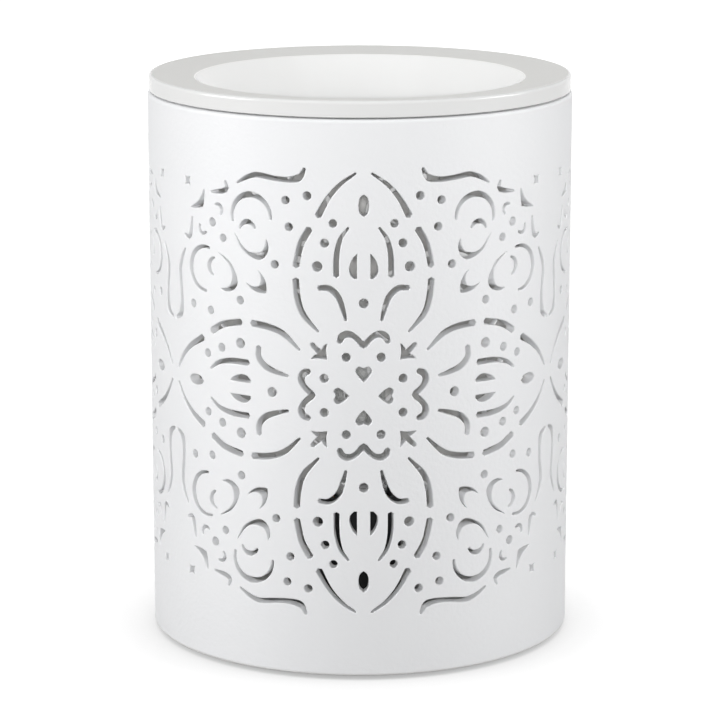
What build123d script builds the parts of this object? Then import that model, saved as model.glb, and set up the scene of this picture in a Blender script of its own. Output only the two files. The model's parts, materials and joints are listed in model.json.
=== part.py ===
from build123d import *
from math import cos, pi, sin, sqrt
import os

# Shell: a cast tube with a pierced wall and a flange inside its foot
body_radius = 52.5
body_wall = 3.0
body_height = 135.3
foot_gap = 1.0               # the shell's lower edge above the table
flange_width = 9.0
flange_thickness = 4.0
plate_recess = 3.0           # from the shell's lower edge up to the flange

# Ornament: equal panels round the wall, each drawn on a square of ornament_size
panel_count = 3
ornament_size = 110.0
plain_band_low = 14.4
plain_band_high = 10.9
cut_margin = 2.0             # how far a cutter runs past what it cuts

# Base plate under the flange, with square pads for feet
plate_thickness = 1.0
plate_gap = 0.6              # round the plate's edge
foot_count = 3
foot_size = 12.0
foot_inset = 2.0             # from the flange's inner edge to the foot

# Strap across the top of the flange, dropped in the middle
strap_width = 12.0
strap_thickness = 1.2
strap_lift = 1.0             # its middle above the plate
strap_bearing = 5.0          # its ends on the flange
strap_slope = 4.0            # run of each bend
strap_clear = 1.0            # from the bend to the flange's edge

# Threaded tube and nut that clamp holder, strap and plate together
nipple_radius = 4.0
nipple_wall = 1.4
nipple_end = 0.3             # thread showing past the nut
nut_across_flats = 12.0
nut_height = 1.8
hole_gap = 0.2               # round the tube in plate and strap
thread_gap = 0.1

# Lamp holder, standing on the strap
holder_radius = 10.5
holder_height = 26.8
holder_wall = 2.2
holder_floor = 3.0
wire_window_width = 6.0      # in the holder's back, where the cord goes in
wire_window_height = 5.0
block_length = 15.2          # across the holder
block_width = 6.0
block_height = 9.0
terminal_gap = 0.1           # from the block to each terminal
terminal_width = 3.0
terminal_depth = 4.8
terminal_height = 3.4
terminal_wall = 0.6
sleeve_radius = 7.9          # threaded sleeve, outside
sleeve_wall = 0.5
sleeve_length = 13.0
tab_width = 4.0              # springy contact under the lamp
tab_thickness = 0.5
tab_rise = 1.2
tab_reach = 2.4
tab_foot = 4.4

# Cord inlet through the back of the shell, for flat cord
inlet_level = 15.5
inlet_width = 8.4
inlet_height = 6.4
inlet_gap = 0.1
inlet_rim = 0.9              # wall of the bushing
inlet_tail = 2.5             # bushing standing into the shell
inlet_setback = 0.4          # its outer end behind the curved wall

# Clear lamp with a small screw cap
lamp_gap = 0.2               # from the contact to the lamp's tip
tip_radius = 2.4
tip_height = 1.2
insulator_radius = 5.4
insulator_height = 2.6
cap_radius = 6.95            # the cap is filled with cement
cap_length = 13.5
glass_radius = 6.4           # slim tubular bulb
glass_wall = 0.8
glass_length = 33.0
stem_gap = 0.2
stem_top_width = 3.2
stem_thickness = 2.4
stem_height = 13.0
wire_radius = 0.4
wire_gap = 0.2
wire_spread = 3.6
wire_height = 8.5
filament_radius = 0.35
filament_rise = 2.5

# Dish that lies on the shell's rim
dish_inset = 0.3             # the rim stands this far inside the shell's face
rim_width = 11.2
rim_height = 4.4
rim_top_break = 1.2
rim_low_break = 2.0
rim_tuck = 1.3               # how far the rim's lower edge draws in
bowl_depth = 15.0
bowl_slope = 14.0            # how far the bowl draws in towards its floor
bowl_wall = 3.6
seat_gap = 0.6               # from the bowl's flank to the shell's rim

# Heights and radii that follow from the sizes above
plate_top = foot_gap + plate_recess
plate_bottom = plate_top - plate_thickness
flange_top = plate_top + flange_thickness
body_top = foot_gap + body_height
inner_radius = body_radius - body_wall
flange_radius = inner_radius - flange_width
strap_bottom = plate_top + strap_lift
holder_bottom = strap_bottom + strap_thickness
holder_top = holder_bottom + holder_height
bore_radius = holder_radius - holder_wall
floor_top = holder_bottom + holder_floor
block_top = floor_top + block_height
lamp_tip = block_top + tab_rise + lamp_gap
insulator_bottom = lamp_tip + tip_height
cap_bottom = insulator_bottom + insulator_height
cap_top = cap_bottom + cap_length
stem_top = cap_top + stem_height
wire_bottom = stem_top + wire_gap
wire_top = wire_bottom + wire_height
dish_top = body_top + rim_height
dish_radius = body_radius - dish_inset
bowl_radius = dish_radius - rim_width
bowl_floor_radius = bowl_radius - bowl_slope

# Ornament, drawn in millimetres about the panel's centre, x across and y up. A stroke is
# its centre line with the width at each point. One half petal is drawn; mirroring and
# quarter turns make the rest of the panel.
half_petal = [
    ([(1.9, 53.3), (7.0, 49.1), (10.8, 43.1)], [0.0, 1.5, 1.7]),       # tip
    ([(12.9, 39.9), (15.0, 36.0), (16.2, 30.9)], [1.7, 1.6, 1.6]),     # flank
    ([(16.2, 27.7), (15.2, 21.2), (10.8, 15.4)], [1.6, 1.6, 0.0]),     # heel
]


def turned(radius_height):
    return revolve(Plane.XZ * Polygon(*radius_height, align=None), Axis.Z)


def disc(radius, low, high, hole=0.0):
    outline = Circle(radius) - Circle(hole) if hole else Circle(radius)
    return Pos(0, 0, low) * extrude(outline, high - low)


def round_circle(solid, radius, count, start):
    return [Rot(0, 0, start + 360 * i / count) * Pos(radius, 0, 0) * solid for i in range(count)]


def brush(line, widths):
    left, right = [], []
    for i, (point, width) in enumerate(zip(line, widths)):
        along = Vector(*line[min(i + 1, len(line) - 1)]) - Vector(*line[max(i - 1, 0)])
        side = along.normalized().rotate(Axis.Z, 90) * (width / 2)
        left.append(Vector(*point) + side)
        right.append(Vector(*point) - side)
    edges = [ThreePointArc(*left), ThreePointArc(*right)]
    edges += [Line(left[end], right[end]) for end in (0, -1) if widths[end]]
    return make_face(Curve() + edges)


def panel_strokes():
    strokes = half_petal + [([(-x, y) for x, y in line], widths) for line, widths in half_petal]
    for _ in range(4):
        yield from strokes
        strokes = [([(-y, x) for x, y in line], widths) for line, widths in strokes]


def wall_cutter(line, widths, panel_angle, scale, height):
    across = [x * scale for x, _ in line]
    middle = (min(across) + max(across)) / 2
    angle = panel_angle + middle / body_radius
    outward = Vector(sin(angle), -cos(angle), 0)
    start = inner_radius - body_wall - cut_margin
    origin = outward * start + Vector(0, 0, height)
    plane = Plane(origin, x_dir=(cos(angle), sin(angle), 0), z_dir=outward)
    flat = [(body_radius * sin((x - middle) / body_radius), y * scale) for x, (_, y) in zip(across, line)]
    face = plane * brush(flat, [width * scale for width in widths])
    return extrude(face, body_radius + cut_margin - start, dir=outward)


def ornament_cutters():
    panel_pitch = 2 * pi * body_radius / panel_count
    panel_height = body_height - plain_band_low - plain_band_high
    scale = min(panel_pitch, panel_height) / ornament_size
    centre = foot_gap + plain_band_low + panel_height / 2
    strokes = list(panel_strokes())
    return [
        wall_cutter(line, widths, 2 * pi * panel / panel_count, scale, centre)
        for panel in range(panel_count)
        for line, widths in strokes
    ]


def inlet_block(width, height, near, far):
    return Pos(0, (near + far) / 2, inlet_level) * Box(width, far - near, height)


def make_shell():
    tube = turned([
        (inner_radius, foot_gap), (body_radius, foot_gap), (body_radius, body_top), (inner_radius, body_top),
        (inner_radius, flange_top), (flange_radius, flange_top),
        (flange_radius, plate_top), (inner_radius, plate_top),
    ])
    inlet = inlet_block(inlet_width, inlet_height, inner_radius - body_wall, body_radius + cut_margin)
    return tube - [inlet] - ornament_cutters()


def make_base_plate():
    return disc(inner_radius - plate_gap, plate_bottom, plate_top, nipple_radius + hole_gap)


def make_feet():
    foot = Pos(0, 0, plate_bottom / 2) * Box(foot_size, foot_size, plate_bottom)
    return Compound(round_circle(foot, flange_radius - foot_inset - foot_size / 2, foot_count, 90))


def make_clamp_strap():
    end = flange_radius + strap_bearing
    bend = flange_radius - strap_clear
    half = [(end, flange_top), (bend, flange_top), (bend - strap_slope, strap_bottom)]
    lower = half + [(-x, z) for x, z in half[::-1]]
    upper = [(x, z + strap_thickness) for x, z in lower[::-1]]
    strip = extrude(Plane.XZ * Polygon(*lower, *upper, align=None), strap_width / 2, both=True)
    return strip - disc(nipple_radius + hole_gap, plate_top, holder_bottom + cut_margin)


def make_nipple():
    low = plate_bottom - nut_height - nipple_end
    return disc(nipple_radius, low, floor_top, nipple_radius - nipple_wall)


def make_nipple_nut():
    outline = RegularPolygon(nut_across_flats / 2, 6, major_radius=False) - Circle(nipple_radius + thread_gap)
    return Pos(0, 0, plate_bottom - nut_height) * extrude(outline, nut_height)


def make_holder_body():
    hole = nipple_radius + thread_gap
    body = turned([
        (hole, holder_bottom), (holder_radius, holder_bottom), (holder_radius, holder_top),
        (bore_radius, holder_top), (bore_radius, floor_top), (hole, floor_top),
    ])
    window = Box(wire_window_width, holder_wall + 2 * cut_margin, wire_window_height)
    return body - Pos(0, bore_radius + holder_wall / 2, floor_top + wire_window_height / 2) * window


def make_terminal_block():
    return Pos(0, 0, floor_top + block_height / 2) * Box(block_length, block_width, block_height)


def make_wire_terminals():
    outline = Rectangle(terminal_width, terminal_height)
    window = Rectangle(terminal_width - 2 * terminal_wall, terminal_height - 2 * terminal_wall)
    cage = extrude(Plane.XZ * (outline - window), terminal_depth / 2, both=True)
    reach = block_width / 2 + terminal_gap + terminal_depth / 2
    return Compound([Pos(0, side * reach, floor_top + terminal_height / 2) * cage for side in (-1, 1)])


def make_threaded_sleeve():
    return disc(sleeve_radius, block_top, block_top + sleeve_length, sleeve_radius - sleeve_wall)


def make_contact_tab():
    low, high = block_top, block_top + tab_rise
    strip = Plane.XZ * Polygon(
        (-tab_foot, low), (-tab_foot / 2, low), (0, high - tab_thickness), (tab_reach, high - tab_thickness),
        (tab_reach, high), (0, high), (-tab_foot / 2, low + tab_thickness), (-tab_foot, low + tab_thickness),
        align=None)
    return extrude(strip, tab_width / 2, both=True)


def make_cord_bushing():
    near = inner_radius - inlet_tail
    far = sqrt(body_radius**2 - (inlet_width / 2) ** 2) - inlet_setback
    width, height = inlet_width - 2 * inlet_gap, inlet_height - 2 * inlet_gap
    bore = inlet_block(width - 2 * inlet_rim, height - 2 * inlet_rim, near, far)
    return inlet_block(width, height, near, far) - bore


def make_lamp_tip():
    return disc(tip_radius, lamp_tip, insulator_bottom)


def make_lamp_insulator():
    return disc(insulator_radius, insulator_bottom, cap_bottom)


def make_lamp_cap():
    return disc(cap_radius, cap_bottom, cap_top)


def make_lamp_glass():
    crown = cap_top + glass_length
    bore = glass_radius - glass_wall
    return turned([
        (bore, cap_top), (glass_radius, cap_top), (glass_radius, crown), (0, crown),
        (0, crown - glass_wall), (bore, crown - glass_wall),
    ])


def make_lamp_stem():
    foot_width = 2 * (glass_radius - glass_wall - stem_gap)
    pinch = Plane.XZ * Pos(0, cap_top) * Polygon(
        (-foot_width / 2, 0), (foot_width / 2, 0), (stem_top_width / 2, stem_height),
        (-stem_top_width / 2, stem_height), align=None)
    return extrude(pinch, stem_thickness / 2, both=True)


def hexagon_rod(path, radius):
    section = Plane(path @ 0, z_dir=path % 0) * RegularPolygon(radius, 6)
    return sweep(section, path, transition=Transition.RIGHT)


def make_lamp_wires():
    foot = stem_top_width / 2 - wire_radius
    paths = [Line((side * foot, 0, wire_bottom), (side * wire_spread, 0, wire_top)) for side in (-1, 1)]
    return Compound([hexagon_rod(path, wire_radius) for path in paths])


def make_lamp_filament():
    low = wire_top + wire_radius + filament_radius
    path = Polyline((-wire_spread, 0, low), (0, 0, low + filament_rise), (wire_spread, 0, low))
    return hexagon_rod(path, filament_radius)


def make_dish():
    floor = dish_top - bowl_depth
    flank_radius = inner_radius - seat_gap
    return turned([
        (0, floor), (bowl_floor_radius, floor), (bowl_radius, dish_top),
        (dish_radius - rim_top_break, dish_top), (dish_radius, dish_top - rim_top_break),
        (dish_radius, body_top + rim_low_break), (dish_radius - rim_tuck, body_top), (flank_radius, body_top),
        (bowl_floor_radius + bowl_wall, floor - bowl_wall), (0, floor - bowl_wall),
    ])


pieces = {
    "shell": make_shell,
    "base_plate": make_base_plate,
    "feet": make_feet,
    "clamp_strap": make_clamp_strap,
    "nipple": make_nipple,
    "nipple_nut": make_nipple_nut,
    "holder_body": make_holder_body,
    "terminal_block": make_terminal_block,
    "wire_terminals": make_wire_terminals,
    "threaded_sleeve": make_threaded_sleeve,
    "contact_tab": make_contact_tab,
    "cord_bushing": make_cord_bushing,
    "lamp_tip": make_lamp_tip,
    "lamp_insulator": make_lamp_insulator,
    "lamp_cap": make_lamp_cap,
    "lamp_glass": make_lamp_glass,
    "lamp_stem": make_lamp_stem,
    "lamp_wires": make_lamp_wires,
    "lamp_filament": make_lamp_filament,
    "dish": make_dish,
}

os.makedirs("parts", exist_ok=True)
for name, make in pieces.items():
    export_step(make(), f"parts/{name}.step")
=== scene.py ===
import bpy
import json
import math
from itertools import product
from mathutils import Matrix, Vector
from mathutils.geometry import delaunay_2d_cdt


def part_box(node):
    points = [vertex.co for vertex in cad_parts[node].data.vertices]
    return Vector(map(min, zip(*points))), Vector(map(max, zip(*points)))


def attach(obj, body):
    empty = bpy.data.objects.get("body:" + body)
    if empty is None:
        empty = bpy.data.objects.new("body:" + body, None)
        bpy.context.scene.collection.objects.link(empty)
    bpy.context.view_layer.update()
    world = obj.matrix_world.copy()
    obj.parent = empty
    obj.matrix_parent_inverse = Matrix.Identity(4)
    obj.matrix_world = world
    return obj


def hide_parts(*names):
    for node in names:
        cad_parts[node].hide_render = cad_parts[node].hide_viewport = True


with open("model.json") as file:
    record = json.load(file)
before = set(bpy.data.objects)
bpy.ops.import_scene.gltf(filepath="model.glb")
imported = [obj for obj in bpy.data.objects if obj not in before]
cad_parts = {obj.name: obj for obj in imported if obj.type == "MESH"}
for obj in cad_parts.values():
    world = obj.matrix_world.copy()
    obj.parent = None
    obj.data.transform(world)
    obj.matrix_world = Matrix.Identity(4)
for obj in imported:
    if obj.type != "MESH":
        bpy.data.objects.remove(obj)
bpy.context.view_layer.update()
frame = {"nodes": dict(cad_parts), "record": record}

mm = 0.001
print("frame loaded:", ", ".join(sorted(frame["nodes"])))


# shader wiring: sums on sockets are written as plain expressions

class Wire:
    def __init__(self, tree, socket):
        self.tree = tree
        self.socket = socket

    def output(self, name):
        return Wire(self.tree, self.socket.node.outputs[name])

    def math(self, operation, first, second=None):
        node = self.tree.nodes.new("ShaderNodeMath")
        node.operation = operation
        for slot, value in zip(node.inputs, (first, second)):
            if value is not None:
                plug(self.tree, slot, value)
        return Wire(self.tree, node.outputs[0])

    def __add__(self, other):
        return self.math("ADD", self, other)

    def __radd__(self, other):
        return self.math("ADD", other, self)

    def __sub__(self, other):
        return self.math("SUBTRACT", self, other)

    def __rsub__(self, other):
        return self.math("SUBTRACT", other, self)

    def __mul__(self, other):
        return self.math("MULTIPLY", self, other)

    def __rmul__(self, other):
        return self.math("MULTIPLY", other, self)

    def __truediv__(self, other):
        return self.math("DIVIDE", self, other)

    def __pow__(self, other):
        return self.math("POWER", self, other)


def plug(tree, slot, value):
    if isinstance(value, Wire):
        tree.links.new(value.socket, slot)
    elif hasattr(slot.default_value, "__len__") and len(slot.default_value) == 4 and len(value) == 3:
        slot.default_value = (*value, 1.0)
    else:
        slot.default_value = value


class Shading:
    def __init__(self, tree):
        self.tree = tree

    def node(self, kind, settings=None, sockets=None, out=0):
        node = self.tree.nodes.new(kind)
        for name, value in (settings or {}).items():
            setattr(node, name, value)
        for name, value in (sockets or {}).items():
            plug(self.tree, node.inputs[name], value)
        return Wire(self.tree, node.outputs[out])

    def seenDirectly(self):
        # 1 where the lens, a gloss or clear glass looks, 0 for light that bounces about
        lens = self.node("ShaderNodeLightPath", out="Is Camera Ray")
        gloss = lens.math("MAXIMUM", lens, lens.output("Is Glossy Ray"))
        return lens.math("MAXIMUM", gloss, lens.output("Is Transmission Ray"))


class Finish(Shading):
    def __init__(self, name, fixed):
        self.material = bpy.data.materials.new(name)
        self.material.use_nodes = True
        super().__init__(self.material.node_tree)
        self.feed(fixed)

    def feed(self, values):
        shader = self.tree.nodes["Principled BSDF"]
        for name, value in values.items():
            plug(self.tree, shader.inputs[name], value)

    def place(self):
        return self.node("ShaderNodeTexCoord", out="Object")

    def noise(self, perMetre, detail=4.0, stretch=(1, 1, 1)):
        where = self.node("ShaderNodeMapping", sockets={"Vector": self.place(), "Scale": stretch})
        return self.node("ShaderNodeTexNoise", sockets={"Vector": where, "Scale": perMetre, "Detail": detail})

    def blend(self, factor, first, second):
        # a Mix node's colours have no names of their own: 0 is the factor, 6 and 7 are the two colours
        return self.node("ShaderNodeMix", {"data_type": "RGBA"}, {0: factor, 6: first, 7: second}, out=2)

    def ramp(self, value, low, high):
        sockets = {"Value": value, "From Min": low, "From Max": high}
        return self.node("ShaderNodeMapRange", {"interpolation_type": "SMOOTHSTEP"}, sockets)

    def bump(self, height, depth):
        sockets = {"Height": height, "Distance": depth, "Strength": 1.0}
        self.feed({"Normal": self.node("ShaderNodeBump", sockets=sockets)})

    def axes(self):
        x = self.node("ShaderNodeSeparateXYZ", sockets={"Vector": self.place()}, out="X")
        return x, x.output("Y"), x.output("Z")

    def fromAxis(self):
        x, y, z = self.axes()
        return (x * x + y * y) ** 0.5, z


# meshes: turned profiles, lofted rings and bent wire

def cornerArc(before, corner, after, radius, steps):
    inward, outward = (before - corner).normalized(), (after - corner).normalized()
    half = inward.angle(outward) / 2
    reach = min(radius / math.tan(half), (before - corner).length, (after - corner).length)
    centre = corner + (inward + outward).normalized() * (reach / math.cos(half))
    first, last = corner + inward * reach - centre, corner + outward * reach - centre
    turn = -first.angle_signed(last)
    arc = []
    for step in range(steps + 1):
        angle = turn * step / steps
        spoke = Vector((first.x * math.cos(angle) - first.y * math.sin(angle),
                        first.x * math.sin(angle) + first.y * math.cos(angle)))
        arc.append(centre + spoke)
    return arc


def roundedProfile(corners, steps=5):
    # corners run anticlockwise, each with its rounding; two roundings share the side between them
    points = [Vector(corner[:2]) for corner in corners]
    rounding = [corner[2] if len(corner) > 2 else 0 for corner in corners]
    count = len(points)
    outline = []
    for index, point in enumerate(points):
        before, after = points[index - 1], points[(index + 1) % count]
        if rounding[index - 1]:
            before = (before + point) / 2
        if rounding[(index + 1) % count]:
            after = (after + point) / 2
        outline += cornerArc(before, point, after, rounding[index], steps) if rounding[index] else [point]
    return outline


def roundedBox(width, height, corner, steps=5):
    x, y = width / 2, height / 2
    return roundedProfile([(x, -y, corner), (x, y, corner), (-x, y, corner), (-x, -y, corner)], steps)


def profileNormals(outline, closed):
    normals = []
    count = len(outline)
    for index, point in enumerate(outline):
        before = outline[index - 1] if index or closed else point
        after = outline[(index + 1) % count] if index < count - 1 or closed else point
        total = Vector((0, 0))
        for side in (point - before, after - point):
            total += Vector((side.y, -side.x))          # the longer side keeps its flat look
        normals.append(total.normalized())
    return normals


weldGrid = {"perMetre": 1e7, "slack": 0.2}      # points on one spot of this grid are the same point


class Skin:
    def __init__(self):
        self.points = []
        self.normals = []
        self.faces = []
        self.known = {}

    def point(self, place, normal=(0, 0, 1)):
        # a place close to a grid line is looked for on both sides of it
        slack = weldGrid["slack"]
        spots = [value * weldGrid["perMetre"] for value in place]
        keys = list(product(*[{round(spot - slack), round(spot + slack)} for spot in spots]))
        for key in keys:
            if key in self.known:
                return self.known[key]
        self.known.update(dict.fromkeys(keys, len(self.points)))
        self.points.append(tuple(place))
        self.normals.append(tuple(normal))
        return len(self.points) - 1

    def face(self, corners):
        ring = [corner for index, corner in enumerate(corners) if corner != corners[index - 1]]
        if len(set(ring)) > 2:
            self.faces.append(ring)

    def turn(self, outlineAt, angles, closed=True):
        columns = []
        for angle in angles:
            outline = outlineAt(angle)
            across, ahead = math.sin(angle), -math.cos(angle)
            column = []
            for (radius, height), (out, up) in zip(outline, profileNormals(outline, closed)):
                place = (radius * across * mm, radius * ahead * mm, height * mm)
                column.append(self.point(place, (out * across, out * ahead, up)))
            columns.append(column)
        for index, column in enumerate(columns):
            after = columns[(index + 1) % len(columns)]
            for row in range(len(column) if closed else len(column) - 1):
                above = (row + 1) % len(column)
                self.face([column[row], after[row], after[above], column[above]])

    def loft(self, rings, closed=False):
        rows = [[self.point(Vector(place) * mm) for place in ring] for ring in rings]
        pairs = list(zip(rows, rows[1:]))
        if closed:
            pairs.append((rows[-1], rows[0]))
        for low, high in pairs:
            for index in range(len(low)):
                after = (index + 1) % len(low)
                self.face([low[index], low[after], high[after], high[index]])
        if not closed:
            self.face(rows[0][::-1])
            self.face(rows[-1])

    def build(self, name, finish, crease=None):
        mesh = bpy.data.meshes.new(name)
        mesh.from_pydata(self.points, [], self.faces)
        mesh.polygons.foreach_set("use_smooth", [True] * len(mesh.polygons))
        if crease is None:
            mesh.normals_split_custom_set_from_vertices(self.normals)
        else:
            mesh.set_sharp_from_angle(angle=math.radians(crease))
        mesh.materials.append(finish.material)
        thing = bpy.data.objects.new(name, mesh)
        bpy.context.collection.objects.link(thing)
        return thing


def allRound(columns):
    return [2 * math.pi * column / columns for column in range(columns)]


def turnedPiece(name, corners, finish, columns=96, steps=5):
    skin = Skin()
    outline = roundedProfile(corners, steps)
    skin.turn(lambda angle: outline, allRound(columns), closed=corners[0][0] > 0)
    return skin.build(name, finish)


def bottomAndTop(node):
    low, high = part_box(node)
    return low[2] / mm, high[2] / mm


def threadHeights(low, high, pitch, rowsPerTurn):
    rows = round((high - low) / pitch * rowsPerTurn)
    return [low + (high - low) * row / rows for row in range(rows + 1)]


def threadDip(height, angle, pitch, low, high):
    # 0 on a crest, 1 in a groove of a right-hand thread that fades out at both ends
    fade = max(0, min(1, (height - low) / pitch, (high - height) / pitch))
    return fade * (0.5 - 0.5 * math.cos(2 * math.pi * height / pitch - angle))


def blockRings(width, depth, form, low, high):
    # rings of an upright block with rounded edges; each has a level and an inset
    edge = form["edge"]
    slant = edge * (1 - math.sqrt(0.5))
    steps = [(low, edge), (low + slant, slant), (low + edge, 0),
             (high - edge, 0), (high - slant, slant), (high, edge)]
    rings = []
    for level, inset in steps:
        outline = roundedBox(width - 2 * inset, depth - 2 * inset, form["corner"] - inset)
        rings.append([(p.x, p.y, level) for p in outline])
    return rings


def wirePiece(name, runs, thickness, finish, roundness=2):
    curve = bpy.data.curves.new(name, "CURVE")
    curve.dimensions, curve.use_fill_caps = "3D", True
    curve.bevel_depth, curve.bevel_resolution = thickness / 2 * mm, roundness
    for run in runs:
        spline = curve.splines.new("POLY")
        spline.points.add(len(run) - 1)
        for point, place in zip(spline.points, run):
            point.co = (*[value * mm for value in place], 1)
    curve.materials.append(finish.material)
    thing = bpy.data.objects.new(name, curve)
    bpy.context.collection.objects.link(thing)
    return thing


def cutAway(thing, cutter):
    opening = thing.modifiers.new("opening", "BOOLEAN")
    opening.operation, opening.object = "DIFFERENCE", cutter
    bpy.context.view_layer.update()
    whole = bpy.data.meshes.new_from_object(thing.evaluated_get(bpy.context.evaluated_depsgraph_get()))
    thing.modifiers.clear()
    thing.data = whole
    bpy.data.objects.remove(cutter)


def settle(thing, slot, body, *nodes):
    if nodes:
        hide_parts(*nodes)
    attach(thing, body)


# finishes: tones are the two ends of a soft variation, limits run from none to full, in metres

mattLook = {
    "glaze": ((0.800, 0.806, 0.818), (0.838, 0.842, 0.850)),
    "clayAndPaintedLight": ((0.84, 0.835, 0.82), (0.89, 0.885, 0.87)),     # bare clay inside and under the foot, its tone painted lighter as well to stand in for light inside the shell
    "clayRadius": (0.0503, 0.0497),
    "clayHeight": (0.0019, 0.0013),
    "roughness": 0.46,
    "cloudRoughness": 0.10,
    "clayRoughness": 0.30,
    "cloudsPerMetre": 38,
    "grainsPerMetre": 900,
    "grainShare": 0.7,      # of the bump, the rest is cloud
    "bumpDepth": 0.00012,
}


def mattGlaze():
    look = mattLook
    matt = Finish("mattGlaze", {"IOR": 1.45})
    cloud = matt.noise(look["cloudsPerMetre"], detail=3)
    grain = matt.noise(look["grainsPerMetre"], detail=5)
    radius, height = matt.fromAxis()
    inside = matt.ramp(radius, *look["clayRadius"])
    under = matt.ramp(height, *look["clayHeight"])
    bare = inside + under - inside * under
    glaze = matt.blend(cloud, *look["glaze"])
    # bare clay tone, painted lighter than the clay itself as light inside the shell
    clayAndPaintedLight = matt.blend(grain, *look["clayAndPaintedLight"])
    matt.feed({
        "Base Color": matt.blend(bare, glaze, clayAndPaintedLight),
        "Roughness": look["roughness"] + look["cloudRoughness"] * cloud + look["clayRoughness"] * bare,
    })
    matt.bump(look["grainShare"] * grain + (1 - look["grainShare"]) * cloud, look["bumpDepth"])
    return matt


glossLook = {
    "glaze": ((0.785, 0.787, 0.780), (0.815, 0.817, 0.810)),
    "rim": ((0.700, 0.698, 0.680), (0.730, 0.728, 0.710)),      # its top is warmer and matt, and painted darker as well: painted shade on the rim's top
    # the dish's outer side, painted darker than its glaze: painted shade
    "side": (0.742, 0.743, 0.737),
    "bare": (0.74, 0.73, 0.70),         # flank and underside, down in the shell
    "roughness": 0.09,
    "speckRoughness": 0.06,
    "rimRoughness": 0.45,
    "bareRoughness": 0.5,
    "cloudsPerMetre": 30,
    "specksPerMetre": 420,
    "speckBump": 0.15,
    "bumpDepth": 0.00010,
    "rimLevel": (-0.0022, -0.0018),     # levels count from the rim's top
    "rimInner": (0.0406, 0.0411),
    "rimOuter": (0.0518, 0.0512),
    "sideRadius": (0.0506, 0.0516),
    "belowRim": (-0.0043, -0.0047),
    "underLevel": (-0.0163, -0.0167),
    "flankRadius": (0.0470, 0.0480),    # where the flank's line reaches the rim's top
    "flankLean": 1.1,
}


def glossGlaze():
    look = glossLook
    gloss = Finish("glossGlaze", {"IOR": 1.5})
    cloud = gloss.noise(look["cloudsPerMetre"], detail=2)
    speck = gloss.noise(look["specksPerMetre"], detail=3)
    radius, height = gloss.fromAxis()
    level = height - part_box("dish")[1][2]
    flank = gloss.ramp(radius - look["flankLean"] * level, *look["flankRadius"])
    under = gloss.ramp(level, *look["underLevel"])
    bare = (flank + under - flank * under) * gloss.ramp(level, *look["belowRim"])
    onRim = gloss.ramp(radius, *look["rimInner"]) * gloss.ramp(radius, *look["rimOuter"])
    rim = gloss.ramp(level, *look["rimLevel"]) * onRim
    # outer side of the dish: painted shade
    side = gloss.ramp(radius, *look["sideRadius"])
    glaze = gloss.blend(side, gloss.blend(cloud, *look["glaze"]), look["side"])
    # the rim's top takes a darker tone: painted shade
    glazed = gloss.blend(rim, glaze, gloss.blend(cloud, *look["rim"]))
    rough = look["roughness"] + look["speckRoughness"] * speck
    gloss.feed({
        "Base Color": gloss.blend(bare, glazed, look["bare"]),
        "Roughness": rough + look["bareRoughness"] * bare + look["rimRoughness"] * rim,
    })
    gloss.bump(cloud + look["speckBump"] * speck, look["bumpDepth"])
    return gloss


glassLook = {
    "tint": (0.90, 0.92, 0.92),
    "roughness": 0.02,
    "ripple": 0.03,
    "ripplesPerMetre": 60,
    "edgeBlend": 0.35,
    "faceAlpha": 0.10,
    "edgeAlpha": 0.55,
    "edgePower": 2.0,
}


def clearGlass():
    # thin clear glass: light goes straight through, and only the slanting edges show
    look = glassLook
    glass = Finish("clearGlass", {"Base Color": look["tint"], "IOR": 1.46})
    facing = glass.node("ShaderNodeLayerWeight", sockets={"Blend": look["edgeBlend"]}, out="Facing")
    glass.feed({
        "Roughness": look["roughness"] + look["ripple"] * glass.noise(look["ripplesPerMetre"], detail=2),
        "Alpha": look["faceAlpha"] + look["edgeAlpha"] * facing ** look["edgePower"],
    })
    return glass


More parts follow.
